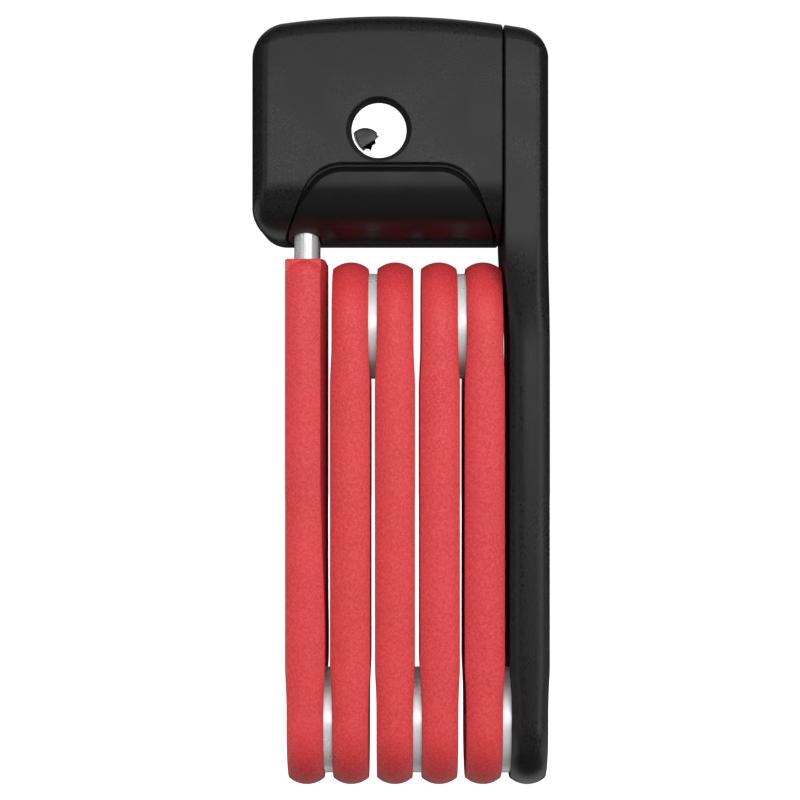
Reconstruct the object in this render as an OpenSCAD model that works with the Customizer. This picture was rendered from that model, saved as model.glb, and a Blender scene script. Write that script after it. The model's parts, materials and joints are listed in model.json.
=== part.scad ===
// Folding bike lock. Five covered links and an arm turn on parallel steel rivets and fold into one pack.
// The lock head swivels on the arm and takes the tongue of the last link in a socket underneath.
// Millimetres, +Z up. The front with the keyway faces -Y and +X is to its right.
// The origin is under the middle of the folded lock, on the plane that it stands on.

/* [Links] */
// Distance between the two rivets of a link
link_len = 88; // [84:0.5:92]
// Width of a covered link, which is also the diameter of its round ends
link_w = 28.6; // [28:0.1:29]
// Thickness of a covered link
link_t = 8.8; // [8.6:0.1:9]
// Distance between the middles of neighbouring links
layer = 9.8; // [9.6:0.1:9.9]
// Radius of the crown around the edge of a cover
crown_r = 6; // [5.5:0.25:7]
// Thickness of the steel plate in each link
plate_t = 5; // [4.5:0.1:5.2]
// Plastic around the edge of each plate
rim_wall = 1.5; // [1.3:0.1:1.8]
// Depth of the dish around a hinge, on the side of the neighbouring link
dish = 0.45; // [0.3:0.05:0.6]

/* [Hinges] */
// Diameter of the steel disc between two links
disc_d = 23.5; // [22:0.1:24]
// Diameter of a rivet's shank
pin_d = 8; // [7:0.1:9]
// Diameter of a rivet's heads
rivet_d = 14; // [12:0.5:16]
// Diameter of the pin that the lock head swivels on
swivel_d = 10; // [9:0.1:11]

/* [Lock head] */
// Depth of the lock head, front to back
head_d = 33; // [32:0.1:34]
// Height of the underside of the lock head
head_z0 = 120.7; // [120.5:0.1:122]
// Height of the top of the lock head
head_z1 = 169.4; // [169:0.1:171]
// Wall of the lock head's casing
wall = 2.2; // [2:0.1:2.4]
// Height of the swivel pin and of the middle of the lock head
swivel_z = 146.3; // [146:0.1:147]

/* [Tongue and latch] */
// Thickness of the tongue
tongue_t = 5.4; // [5.2:0.1:5.6]
// Width of the tongue
tongue_w = 17; // [16:0.5:18]
// Travel of the latch between open and locked
latch_travel = 5; // [4.6:0.1:5.2]

/* [Key cylinder] */
// Outer diameter of the cylinder
barrel_d = 12.9; // [12.7:0.1:13.1]
// Diameter of the face that turns with the key
plug_d = 11.9; // [11.8:0.05:12]
// Height of the cylinder's axis
key_z = 144.4; // [144:0.1:145]

/* [Hidden] */
$fn = 96;
eps = 0.01;

// Running clearance of a rivet or shaft in its hole, and the gap beside a part that turns
run_gap = 0.05;
// Gap around a disc or a rivet head that shows through a cover
window_gap = 0.4;

// Height of the lower and the upper rivets, and of the top of the folded links
z_low = link_w / 2;
z_high = z_low + link_len;
z_top = z_high + link_w / 2;

// Middle of the arm and of each link across the pack: 0 is the arm and 5 the link with the tongue
arm_x = 2.9 * layer - 0.12;
function link_x(i) = arm_x - i * layer;
plate_r = link_w / 2 - rim_wall;

// Dish around a hinge: the depth on a side that has no hinge, its radius and its sloping border
dish_far = 0.35;
dish_r = 17.6;
dish_slope = 3.4;

// Rivets: height of a head on the plate, and the radius of the sphere that rounds it
rivet_head_t = 1.35;
rivet_dome_r = 30;

// Lock head: left side, right side at the seam, and the arm's own sides
head_x0 = -32.2;
head_x1 = 22.3;
seam = 0.3;
arm_x1 = arm_x + link_t / 2 - 0.4;
head_y = head_d / 2;
// Crowned top: its radius and the middle of its arc
top_r = 170;
top_x = -2.5;
// Left corners seen from the front: radii, and how far the upper one lies below the crown
corner_top_r = 8;
corner_top_drop = 1.6;
corner_low_r = 8;
// Edges seen from the side: all round, under the front, and under the back
edge_r = 4;
edge_front_r = 13;
edge_back_r = 5;
// Arm: right corner seen from the front, its depth below the crown, upright edges, span of the flare
arm_corner_r = 7;
arm_corner_drop = 2;
arm_edge_r = 3.5;
flare_z0 = z_high;
flare_z1 = z_top + 5;
// Plane where the front and rear covers meet, and the back of the lock housing
part_y = 9;
housing_y = 13;

// Arch of the front panel: its middle, top, half the flat stretch, shoulder radius, splay of its legs
arch_x = -2;
arch_top = 137;
arch_flat = 10.3;
arch_r = 9.6;
arch_splay = 23;
arch_groove = 1.8;
panel_sink = 0.6;
panel_flange = 1.6;

// Tongue: its top, the window for the latch, and the clearance of its socket
tongue_x = link_x(5);
tongue_top = head_z0 + 12.3;
tongue_taper = 2;
// Width of the fine V line down the middle of the tongue's round edges
forge_line = 0.22;
socket_gap = 0.3;
window_z = head_z0 + 7.3;
window_h = 7.4;
window_w = 8.8;

// Latch: nose size, its end at rest, the tail behind the cylinder, and the gap around it
nose_h = 6.8;
nose_w = 8;
latch_gap = 0.4;
latch_x0 = tongue_x + tongue_t / 2 + latch_gap;
latch_x1 = 2;
latch_play = 0.15;
riser_w = 8;
riser_y0 = 8.6;
riser_y1 = 10.9;
riser_top = key_z + 2.1;

// Key cylinder: axis, stations along -Y to +Y, radii of the core and the rear journal
key_x = -4.56;
barrel_y0 = -13.9;
barrel_y1 = 6;
face_y0 = -13.6;
face_t = 1.5;
cup_y1 = -7;
guard_t = 0.8;
core_r = 4.9;
disc_bore_r = 4.3;
core_y1 = 5.1;
journal_r = 2.5;
journal_y1 = 8.3;
barrel_bore_r = plug_d / 2 + run_gap;

// Cam: pin radius and the distance from the axis that gives the latch its travel in a quarter turn
cam_pin_r = 1.2;
cam_arm = latch_travel / sqrt(2);
cam_y0 = 6.9;
cam_y1 = 8.2;
cam_slot_gap = 0.2;

red = [0.80, 0.19, 0.20];
black = [0.10, 0.10, 0.105];
steel = [0.72, 0.74, 0.76];
zinc = [0.58, 0.59, 0.60];
dark_steel = [0.40, 0.41, 0.43];

// Turns a solid whose axis is +Z so that the axis is +X
module along_x(x0) {
    translate([x0, 0, 0]) rotate([0, 90, 0]) children();
}

// Cylinder with its axis along X at height z
module rod_x(r, x0, x1, z) {
    translate([0, 0, z]) along_x(x0) cylinder(r = r, h = x1 - x0);
}

// Cylinder on the key's axis between two Y stations
module rod_y(r, y0, y1) {
    translate([key_x, y0, key_z]) rotate([-90, 0, 0]) cylinder(r = r, h = y1 - y0);
}

// Box between two corners
module block(low, high) {
    translate(low) cube(high - low);
}

// ---- Links -------------------------------------------------------------------------------------

// Half of a link's cross-section: distance from the middle along x, thickness along y, crowned rim
module half_section(r, t) {
    intersection() {
        translate([0, -t / 2]) square([r, t]);
        union() {
            translate([0, -t / 2]) square([r - crown_r, t]);
            translate([r - crown_r, 0]) circle(r = crown_r);
        }
    }
}

// Whole cross-section, with the thickness along x and the width along y
module full_section(r, t) {
    rotate(90) half_section(r, t);
    rotate(-90) half_section(r, t);
}

// Crowned disc at a hinge
module round_end(x, z, r, t) {
    translate([x, 0, z]) rotate([0, 90, 0]) rotate_extrude() half_section(r, t);
}

// Bar with two round ends
module crowned_bar(x, z0, z1, r, t) {
    round_end(x, z0, r, t);
    round_end(x, z1, r, t);
    translate([x, 0, z0]) linear_extrude(z1 - z0) full_section(r, t);
}

// Flat plate with two round ends
module flat_bar(x, z0, z1, r, t) {
    rod_x(r, x - t / 2, x + t / 2, z0);
    rod_x(r, x - t / 2, x + t / 2, z1);
    block([x - t / 2, -r, z0], [x + t / 2, r, z1]);
}

// Shallow dish in the side of a cover; side is +1 or -1 along X
module side_dish(x, z, side, depth, t = link_t) {
    translate([x + side * (t / 2 - depth), 0, z]) rotate([0, side * 90, 0])
        cylinder(r1 = dish_r - dish_slope, r2 = dish_r - dish_slope + dish_slope * (depth + 1) / depth,
                 h = depth + 1);
}

// Height of hinge k, counted from the arm: odd ones are at the bottom
function hinge_z(k) = k % 2 == 1 ? z_low : z_high;

// Openings in a cover at a hinge: a window for the disc on one side, for the rivet head on the other
module hinge_windows(x, z, side, t = link_t) {
    side_dish(x, z, side, dish, t);
    side_dish(x, z, -side, dish_far, t);
    disc_side = x + side * plate_t / 2;
    rivet_side = x - side * plate_t / 2;
    rod_x(disc_d / 2 + window_gap, min(disc_side, disc_side + side * t), max(disc_side, disc_side + side * t), z);
    rod_x(rivet_d / 2 + window_gap, min(rivet_side, rivet_side - side * t),
          max(rivet_side, rivet_side - side * t), z);
}

// Tongue blade with full-round edges, grown by a gap
module tongue_blade(z0, z1, gap = 0) {
    r = tongue_t / 2 + gap;
    y = (tongue_w - tongue_t) / 2;
    block([tongue_x - r, -y, z0], [tongue_x + r, y, z1]);
    for (side = [-1, 1])
        translate([tongue_x, side * y, z0]) cylinder(r = r, h = z1 - z0);
}

// Steel plate of link i; each hinge turns on the plate that has the larger hole
module link_plate(i) {
    color(steel) difference() {
        flat_bar(link_x(i), z_low, z_high, plate_r, plate_t);
        rod_x(pin_d / 2, link_x(i) - plate_t, link_x(i) + plate_t, hinge_z(i));
        rod_x(pin_d / 2 + run_gap, link_x(i) - plate_t, link_x(i) + plate_t, hinge_z(i + 1));
    }
}

// Last plate, whose upper end is the tongue
module tongue_plate() {
    x = link_x(5);
    color(steel) difference() {
        union() {
            rod_x(plate_r, x - plate_t / 2, x + plate_t / 2, z_low);
            block([x - plate_t / 2, -plate_r, z_low], [x + plate_t / 2, plate_r, z_high + 8]);
            tongue_blade(z_high, tongue_top);
        }
        rod_x(pin_d / 2, x - plate_t, x + plate_t, z_low);
        block([x - tongue_t, -window_w / 2, window_z - window_h / 2],
              [x + tongue_t, window_w / 2, window_z + window_h / 2]);
        for (side = [-1, 1]) {
            translate([x + side * tongue_t / 2, 0, tongue_top]) rotate([0, 45, 0])
                cube([tongue_taper, tongue_w + 2, tongue_taper], center = true);
            translate([x, side * tongue_w / 2, z_top + tongue_top / 2]) rotate([0, 0, 45])
                cube([forge_line, forge_line, tongue_top], center = true);
        }
    }
}

// Plastic cover moulded around the plate of link i
module link_cover(i) {
    x = link_x(i);
    color(red) difference() {
        crowned_bar(x, z_low, z_high, link_w / 2, link_t);
        flat_bar(x, z_low, z_high, plate_r, plate_t);
        hinge_windows(x, hinge_z(i), 1);
        hinge_windows(x, hinge_z(i + 1), -1);
    }
}

// Cover of the last link, with a square top that the tongue leaves
module tongue_cover() {
    x = link_x(5);
    color(red) difference() {
        intersection() {
            union() {
                round_end(x, z_low, link_w / 2, link_t);
                translate([x, 0, z_low]) linear_extrude(z_top - z_low) full_section(link_w / 2, link_t);
            }
            square_top(x);
        }
        rod_x(plate_r, x - plate_t / 2, x + plate_t / 2, z_low);
        block([x - plate_t / 2, -plate_r, z_low], [x + plate_t / 2, plate_r, z_high + 8]);
        tongue_blade(z_high, z_top + 1);
        hinge_windows(x, z_low, 1);
    }
}

// Envelope that rounds the square top of the last cover in both directions
module square_top(x) {
    r = 3;
    y = link_w / 2;
    rotate([90, 0, 90]) translate([0, 0, x - link_t]) linear_extrude(2 * link_t) {
        translate([-y, -1]) square([2 * y, z_top - r + 1]);
        translate([r - y, -1]) square([2 * (y - r), z_top + 1]);
        for (side = [-1, 1])
            translate([side * (y - r), z_top - r]) circle(r = r);
    }
}

// Rivet through links i - 1 and i, with a rounded head on each
module hinge_rivet(i) {
    x0 = link_x(i) - plate_t / 2;
    x1 = link_x(i - 1) + plate_t / 2 + run_gap;
    color(steel) {
        rod_x(pin_d / 2, x0, x1, hinge_z(i));
        rivet_head(x1, hinge_z(i), 1, rivet_d / 2);
        rivet_head(x0, hinge_z(i), -1, rivet_d / 2);
    }
}

// Rivet head standing on a plate at x, domed by an arc; side is +1 or -1 along X
module rivet_head(x, z, side, r) {
    translate([x, 0, z]) rotate([0, side * 90, 0]) rotate_extrude() intersection() {
        square([r, rivet_head_t]);
        translate([0, rivet_head_t - rivet_dome_r]) circle(r = rivet_dome_r, $fn = 360);
    }
}

// Hardened disc around the rivet, between the plates of links i - 1 and i
module hinge_disc(i) {
    x0 = link_x(i) + plate_t / 2;
    x1 = link_x(i - 1) - plate_t / 2 - run_gap;
    color(steel) difference() {
        rod_x(disc_d / 2, x0, x1, hinge_z(i));
        rod_x(pin_d / 2, x0 - 1, x1 + 1, hinge_z(i));
    }
}

// ---- Arm ---------------------------------------------------------------------------------------

// Steel plate of the arm, between the lowest hinge and the swivel
module arm_plate() {
    color(steel) difference() {
        flat_bar(arm_x, z_low, swivel_z, plate_r, plate_t);
        rod_x(pin_d / 2 + run_gap, arm_x - plate_t, arm_x + plate_t, z_low);
        rod_x(swivel_d / 2, arm_x - plate_t, arm_x + plate_t, swivel_z);
    }
}

// Front outline of the arm's wide upper part: a flared left side and a rounded top corner
module arm_front_outline() {
    x0 = head_x1 + seam;
    r = arm_corner_r;
    shoulder_z = head_z1 - arm_corner_drop - r;
    slim_x = arm_x - link_t / 2;
    bend = [(x0 + slim_x) / 2 - 0.15, (flare_z0 + flare_z1) / 2 + 4];
    intersection() {
        union() {
            polygon([[slim_x, flare_z0], [arm_x1, flare_z0], [arm_x1, shoulder_z], [arm_x1 - r, shoulder_z],
                     [arm_x1 - r, head_z1 + 1], [x0, head_z1 + 1], [x0, flare_z1], bend]);
            translate([arm_x1 - r, shoulder_z]) circle(r = r);
        }
        translate([top_x, head_z1 - top_r]) circle(r = top_r, $fn = 360);
    }
}

// Side outline of the arm's upper part, which widens from the link's width to the head's depth
module arm_side_outline() {
    polygon([[-link_w / 2, flare_z0], [link_w / 2, flare_z0], [head_y, flare_z1], [head_y, head_z1 - edge_r],
             [-head_y, head_z1 - edge_r], [-head_y, flare_z1]]);
    translate([-head_y + edge_r, flare_z1]) square([head_d - 2 * edge_r, head_z1 - flare_z1]);
    for (side = [-1, 1])
        translate([side * (head_y - edge_r), head_z1 - edge_r]) circle(r = edge_r);
}

// Cross-section of the arm's upper part, with rounded outer edges
module arm_cross_outline() {
    r = arm_edge_r;
    x0 = head_x1 + seam;
    translate([x0, -head_y]) square([arm_x1 - r - x0, head_d]);
    translate([x0, r - head_y]) square([arm_x1 - x0, head_d - 2 * r]);
    for (side = [-1, 1])
        translate([arm_x1 - r, side * (head_y - r)]) circle(r = r);
}

// Plastic cover of the arm: a link below, and above it the right-hand end of the lock head
module arm_cover() {
    color(black) difference() {
        union() {
            round_end(arm_x, z_low, link_w / 2, link_t);
            translate([arm_x, 0, z_low]) linear_extrude(z_high - z_low) full_section(link_w / 2, link_t);
            intersection() {
                rotate([90, 0, 0]) translate([0, 0, -head_y - 1]) linear_extrude(head_d + 2) arm_front_outline();
                rotate([90, 0, 90]) linear_extrude(arm_x1 + 1) arm_side_outline();
                linear_extrude(head_z1 + 1) arm_cross_outline();
            }
        }
        flat_bar(arm_x, z_low, swivel_z, plate_r, plate_t);
        hinge_windows(arm_x, z_low, -1);
        rod_x(disc_d / 2 + window_gap, head_x1 - 1, arm_x - plate_t / 2, swivel_z);
        rod_x(rivet_d / 2 + window_gap, arm_x + plate_t / 2, arm_x1 + 1, swivel_z);
    }
}

// Pin that holds the lock head on the arm; its flange turns in a pocket of the lock housing
module swivel_rivet() {
    x1 = arm_x + plate_t / 2;
    color(steel) {
        rod_x(swivel_d / 2, swivel_flange_x, x1, swivel_z);
        rivet_head(x1, swivel_z, 1, rivet_d / 2);
        rod_x(swivel_flange_r, swivel_flange_x - swivel_flange_t, swivel_flange_x, swivel_z);
    }
}
swivel_flange_x = 15.5;
swivel_flange_t = 3;
swivel_flange_r = 8;

// Hardened disc between the lock housing and the arm's plate
module swivel_disc() {
    x0 = head_x1 - wall + run_gap;
    x1 = arm_x - plate_t / 2;
    color(steel) difference() {
        rod_x(disc_d / 2, x0, x1, swivel_z);
        rod_x(swivel_d / 2, x0 - 1, x1 + 1, swivel_z);
    }
}

// ---- Lock head ---------------------------------------------------------------------------------

// Front outline of the lock head, inset by d: crowned top, rounded left corners, straight seam
module head_front_outline(d) {
    x0 = head_x0 + d;
    x1 = head_x1 - d;
    z0 = head_z0 + d;
    rt = corner_top_r - d;
    rl = corner_low_r - d;
    zt = head_z1 - corner_top_drop - d - rt;
    intersection() {
        union() {
            translate([x0 + rl, z0]) square([x1 - x0 - rl, zt + rt + 2 - z0]);
            translate([x0, z0 + rl]) square([rl + 1, zt - z0 - rl]);
            translate([x0 + rl, z0 + rl]) circle(r = rl);
            translate([x0 + rt, zt]) circle(r = rt);
        }
        translate([top_x, head_z1 - top_r]) circle(r = top_r - d, $fn = 360);
    }
}

// Side outline of the lock head, inset by d: small radii above, and a large one under the front
module head_side_outline(d) {
    y = head_y - d;
    rt = edge_r - d / 2;
    rf = edge_front_r - d;
    rb = edge_back_r - d;
    z0 = head_z0 + d;
    z1 = head_z1 - d;
    translate([-y, z0 + rf]) square([2 * y, z1 - rt - z0 - rf]);
    translate([rf - y, z0]) square([2 * y - rf - rb, rf + 1]);
    translate([0, z0 + rb]) square([y, rf - rb + 1]);
    translate([rt - y, z1 - rt - 1]) square([2 * (y - rt), rt + 1]);
    translate([rf - y, z0 + rf]) circle(r = rf);
    translate([y - rb, z0 + rb]) circle(r = rb);
    for (side = [-1, 1])
        translate([side * (y - rt), z1 - rt]) circle(r = rt);
}

// Cross-section of the lock head, inset by d, with rounded edges on the left
module head_cross_outline(d) {
    y = head_y - d;
    r = edge_r - d / 2;
    x0 = head_x0 + d;
    translate([x0 + r, -y]) square([head_x1 - d - x0 - r, 2 * y]);
    translate([x0, r - y]) square([r + 1, 2 * (y - r)]);
    for (side = [-1, 1])
        translate([x0 + r, side * (y - r)]) circle(r = r);
}

// Solid shape of the lock head, inset by d all round
module head_solid(d) {
    intersection() {
        rotate([90, 0, 0]) translate([0, 0, -head_y - 1]) linear_extrude(head_d + 2) head_front_outline(d);
        rotate([90, 0, 90]) translate([0, 0, head_x0 - 1]) linear_extrude(head_x1 - head_x0 + 2)
            head_side_outline(d);
        translate([0, 0, head_z0 - 1]) linear_extrude(head_z1 - head_z0 + 2) head_cross_outline(d);
    }
}

// Outline of the arch over the front panel, inset by d: round shoulders that run into splayed legs
module arch_outline(d) {
    r = arch_r - d;
    shoulder_z = arch_top - arch_r;
    leg_x = arch_flat + r * cos(arch_splay);
    leg_z = shoulder_z + r * sin(arch_splay);
    foot_z = head_z0 - 2;
    foot_x = leg_x + (leg_z - foot_z) * tan(arch_splay);
    translate([arch_x, 0]) {
        translate([-arch_flat, foot_z]) square([2 * arch_flat, shoulder_z + r - foot_z]);
        for (side = [-1, 1]) {
            translate([side * arch_flat, shoulder_z]) circle(r = r);
            polygon([[0, foot_z], [0, shoulder_z], [side * arch_flat, shoulder_z], [side * leg_x, leg_z],
                     [side * foot_x, foot_z]]);
        }
    }
}

// Arch outline as a solid, from the front back to the plane y1
module arch_solid(d, y1) {
    rotate([90, 0, 0]) translate([0, 0, -y1]) linear_extrude(y1 + head_y + 1) arch_outline(d);
}

// Front part of the casing, with the arch and the hole for the key cylinder
module head_cover() {
    color(black) difference() {
        head_solid(0);
        head_solid(wall);
        block([head_x0 - 1, part_y, head_z0 - 1], [head_x1 + 1, head_y + 1, head_z1 + 1]);
        arch_solid(0, part_y + 1);
        rod_y(keyhole_r, -head_y - 1, -head_y + wall + 1);
        rod_x(disc_d / 2 + window_gap, head_x1 - wall - 1, head_x1 + 1, swivel_z);
    }
}
keyhole_r = 7.05;

// Places of the screws that hold the rear cover
screw_at = [[-26.5, 133], [-26.5, 159], [17, 133], [17, 160]];
screw_r = 1.25;
screw_head_r = 2.4;
screw_head_t = 1.2;
screw_depth = 7;
boss_r = 3.2;

// Rear part of the casing, with a boss and a countersink for each screw
module rear_cover() {
    color(black) difference() {
        union() {
            difference() {
                head_solid(0);
                head_solid(wall);
                block([head_x0 - 1, -head_y - 1, head_z0 - 1], [head_x1 + 1, part_y, head_z1 + 1]);
            }
            for (p = screw_at)
                translate([p[0], housing_y, p[1]]) rotate([-90, 0, 0])
                    cylinder(r = boss_r, h = head_y - wall / 2 - housing_y);
        }
        rod_x(disc_d / 2 + window_gap, head_x1 - wall - 1, head_x1 + 1, swivel_z);
        for (p = screw_at) {
            translate([p[0], 0, p[1]]) rotate([-90, 0, 0]) cylinder(r = screw_r, h = head_d);
            translate([p[0], head_y - screw_head_t, p[1]]) rotate([-90, 0, 0])
                cylinder(r = screw_head_r + 0.1, h = screw_head_t + 1);
        }
    }
}

// Four screws with cross-slotted flat heads
module cover_screws() {
    slot = 0.6;
    color(dark_steel) for (p = screw_at)
        difference() {
            translate([p[0], head_y - 0.1, p[1]]) rotate([90, 0, 0]) {
                cylinder(r = screw_head_r, h = screw_head_t - 0.1);
                cylinder(r = screw_r, h = head_y - housing_y + screw_depth);
            }
            for (turn = [0, 90])
                translate([p[0], head_y - 0.1, p[1]]) rotate([0, turn, 0])
                    cube([2 * screw_r + 0.6, 1.4, slot], center = true);
        }
}

// Panel under the arch; it wraps under the head, and a flange behind its edge closes the groove
module arch_panel() {
    color(black) difference() {
        union() {
            intersection() {
                difference() {
                    head_solid(panel_sink);
                    head_solid(wall);
                }
                arch_solid(arch_groove, part_y - 0.05);
            }
            intersection() {
                difference() {
                    head_solid(panel_flange);
                    head_solid(wall);
                }
                arch_solid(0.05, part_y - 0.05);
            }
        }
        tongue_blade(head_z0 - 1, head_z0 + 5, socket_gap + 0.1);
        rod_y(keyhole_r + 0.2, -head_y - 1, -head_y + wall + 1);
    }
}

// Die-cast block that fills the casing: tongue socket, cylinder bore, latch channel, swivel bearing
module lock_housing() {
    bar_z0 = window_z - nose_h / 2 - latch_play;
    bar_z1 = window_z + nose_h / 2 + latch_play;
    riser_x0 = latch_x1 - riser_w - latch_travel - socket_gap;
    riser_x1 = latch_x1 + socket_gap;
    color(zinc) difference() {
        intersection() {
            head_solid(wall);
            block([head_x0, -head_y, head_z0], [head_x1, housing_y, head_z1]);
        }
        tongue_blade(head_z0, tongue_top + 1.5, socket_gap);
        rod_y(barrel_d / 2, -head_y, barrel_y1 + run_gap);
        rod_y(plug_d / 2, barrel_y1, cam_y1 + 0.4);
        block([tongue_x, -nose_w / 2 - latch_play, bar_z0], [spring_x1, nose_w / 2 + latch_play, bar_z1]);
        block([riser_x0, 0, bar_z0], [riser_x1, housing_y + 1, bar_z1]);
        block([riser_x0, riser_y0 - latch_play, bar_z0], [riser_x1, housing_y + 1, riser_top + 1]);
        block([swivel_flange_x - swivel_flange_t - 0.5, -swivel_flange_r - 0.5, swivel_z - swivel_flange_r - 0.5],
              [swivel_flange_x + run_gap, housing_y + 1, swivel_z + swivel_flange_r + 0.5]);
        rod_x(swivel_d / 2 + run_gap, swivel_flange_x, head_x1, swivel_z);
        for (p = screw_at)
            translate([p[0], housing_y - screw_depth - 1, p[1]]) rotate([-90, 0, 0])
                cylinder(r = screw_r, h = screw_depth + 2);
    }
}

// ---- Key cylinder ------------------------------------------------------------------------------

// Opening for the key, seen from the front, with the ward that stands in its foot
module keyway_outline() {
    difference() {
        intersection() {
            circle(r = plug_d / 2 - 0.35);
            translate([-3, -3]) circle(r = 3.6);
            polygon([[-0.25, 0.6], [-0.45, -0.9], [0, -1.3], [-0.85, -2.0], [-0.7, -2.9], [-1.4, -3.2],
                     [-2.3, -6], [-7, -6], [-7, 2]]);
        }
        translate([-2.55, -4.75]) circle(r = 0.75);
    }
}

// The keyway as a solid between two Y stations
module keyway(y0, y1) {
    translate([key_x, y1, key_z]) rotate([90, 0, 0]) linear_extrude(y1 - y0) keyway_outline();
}

// Fixed body of the cylinder, whose front rim shows around the face
module cylinder_barrel() {
    color(steel) difference() {
        rod_y(barrel_d / 2, barrel_y0, barrel_y1);
        rod_y(barrel_bore_r, barrel_y0 - 1, cup_y1 + run_gap);
        rod_y(core_r + run_gap, cup_y1 - 1, core_y1 + run_gap);
        rod_y(journal_r + run_gap, core_y1, barrel_y1 + 1);
        sidebar_at(sidebar_r + 0.1, 0.1, core_r);
    }
}

// Disc that shows at the front of the cylinder
module plug_face() {
    color(steel) difference() {
        rod_y(plug_d / 2, face_y0, face_y0 + face_t);
        keyway(face_y0 - 1, face_y0 + face_t + 1);
    }
}

// Turning core: a cup for the shutter and the drill guard, a tube for the discs, a journal behind
module plug_core() {
    color(zinc) difference() {
        union() {
            rod_y(plug_d / 2, face_y0 + face_t, cup_y1);
            rod_y(core_r, cup_y1 - eps, core_y1);
            rod_y(journal_r, core_y1 - eps, journal_y1);
        }
        rod_y(cup_r, face_y0 + face_t - 1, cup_y1 - 0.7);
        rod_y(disc_bore_r, cup_y1, core_y1 - 0.8);
        keyway(cup_y1 - 2, cup_y1 + 1);
        sidebar_at(sidebar_r + 0.1, 0.1);
        difference() {
            rod_y(journal_r + 1, barrel_y1 + run_gap, barrel_y1 + run_gap + clip_t);
            rod_y(clip_groove_r, barrel_y1, barrel_y1 + 1);
        }
    }
}
cup_r = 5.2;
clip_t = 0.7;
clip_groove_r = 2;

// Eight slotted discs that the key's cuts turn
disc_count = 8;
disc_t = 1.1;
disc_pitch = 1.38;
module detainer_discs() {
    color(dark_steel) for (i = [0:disc_count - 1]) {
        y = cup_y1 + 0.1 + i * disc_pitch;
        difference() {
            rod_y(disc_bore_r - 0.05, y, y + disc_t);
            keyway(y - 1, y + disc_t + 1);
            sidebar_at(sidebar_r + 0.15, 1);
        }
    }
}

// Rod that blocks the core in the barrel: it lies in the gates of the discs, as with the key in
sidebar_r = 0.7;
sidebar_in = core_r - 0.77;
module sidebar_at(r, extra, reach = sidebar_in) {
    translate([key_x + reach, cup_y1 + 0.8 - extra, key_z]) rotate([-90, 0, 0])
        cylinder(r = r, h = 9.6 + 2 * extra);
}
module sidebar() {
    color(steel) sidebar_at(sidebar_r, 0);
}

// Hardened disc in front of the detainer discs
module drill_guard() {
    y1 = cup_y1 - 0.75;
    color(dark_steel) difference() {
        rod_y(cup_r - 0.05, y1 - guard_t, y1);
        keyway(y1 - guard_t - 1, y1 + 1);
    }
}

// Flap behind the face that covers the upper part of the keyway and swings inwards
shutter_y = face_y0 + face_t + 0.45;
shutter_z = key_z + 0.95;
module keyway_shutter() {
    t = 0.5;
    tip = [-5, -4.2];
    root = [-0.2, -1.3];
    color(steel) {
        intersection() {
            translate([key_x, shutter_y + t / 2, key_z]) rotate([90, 0, 0]) linear_extrude(t)
                polygon([tip, root, [root[0], shutter_z - key_z], [tip[0], shutter_z - key_z]]);
            rod_y(cup_r - 0.15, shutter_y - t, shutter_y + t);
        }
        translate([key_x - 4.7, shutter_y, shutter_z]) rotate([0, 90, 0]) cylinder(r = 0.32, h = 4.5);
    }
}

// Snap ring in the journal's groove, behind the barrel
module retaining_clip() {
    color(dark_steel) difference() {
        rod_y(journal_r + 1.6, barrel_y1 + run_gap, barrel_y1 + run_gap + clip_t);
        rod_y(clip_groove_r, barrel_y1, barrel_y1 + 1);
        translate([key_x - 1.2, barrel_y1, key_z]) cube([2.4, 1, 6]);
    }
}

// Disc on the journal with the pin that drives the latch
module cam() {
    color(steel) {
        difference() {
            rod_y(plug_d / 2 - 0.6, cam_y0, cam_y1);
            rod_y(journal_r, cam_y0 - 1, cam_y1 + 1);
        }
        translate([key_x + latch_travel / 2, cam_y1 - eps, key_z - latch_travel / 2]) rotate([-90, 0, 0])
            cylinder(r = cam_pin_r, h = riser_y1 - cam_y1);
    }
}

// ---- Latch -------------------------------------------------------------------------------------

// Sliding bolt: a nose for the tongue's window and a slotted riser behind the cylinder for the cam
module latch_bolt() {
    z0 = window_z - nose_h / 2;
    z1 = window_z + nose_h / 2;
    pin_x = key_x + latch_travel / 2;
    slot_r = cam_pin_r + cam_slot_gap;
    slot_z0 = key_z - cam_arm;
    slot_z1 = key_z - latch_travel / 2;
    color(steel) difference() {
        union() {
            block([latch_x0, -nose_w / 2, z0], [latch_x1, nose_w / 2, z1]);
            block([latch_x1 - riser_w, nose_w / 2 - 1, z0], [latch_x1, riser_y1, z1]);
            block([latch_x1 - riser_w, riser_y0, z0], [latch_x1, riser_y1, riser_top]);
        }
        for (z = [slot_z0, slot_z1])
            translate([pin_x, riser_y0 - 1, z]) rotate([-90, 0, 0])
                cylinder(r = slot_r, h = riser_y1 - riser_y0 + 2);
        block([pin_x - slot_r, riser_y0 - 1, slot_z0], [pin_x + slot_r, riser_y1 + 1, slot_z1]);
    }
}

// Compression spring that pushes the latch towards the tongue
spring_x0 = latch_x1 + 0.1;
spring_x1 = 10.5;
spring_r = 2.4;
wire_r = 0.35;
module latch_spring() {
    turns = 6;
    steps = 16;
    sides = 8;
    rings = turns * steps;
    pitch = (spring_x1 - spring_x0 - 2 * wire_r - 0.2) / turns;
    function ring_at(i) = [for (j = [0:sides - 1]) let (a = 360 * i / steps, b = 360 * j / sides,
            r = spring_r + wire_r * cos(b))
        [spring_x0 + wire_r + 0.05 + pitch * i / steps + wire_r * sin(b), r * cos(a), window_z + r * sin(a)]];
    points = [for (i = [0:rings]) each ring_at(i)];
    skin = [for (i = [0:rings - 1], j = [0:sides - 1])
        [i * sides + j, (i + 1) * sides + j, (i + 1) * sides + (j + 1) % sides, i * sides + (j + 1) % sides]];
    first = [for (j = [0:sides - 1]) j];
    last = [for (j = [0:sides - 1]) rings * sides + sides - 1 - j];
    color(dark_steel) polyhedron(points, concat(skin, [first], [last]));
}

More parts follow.
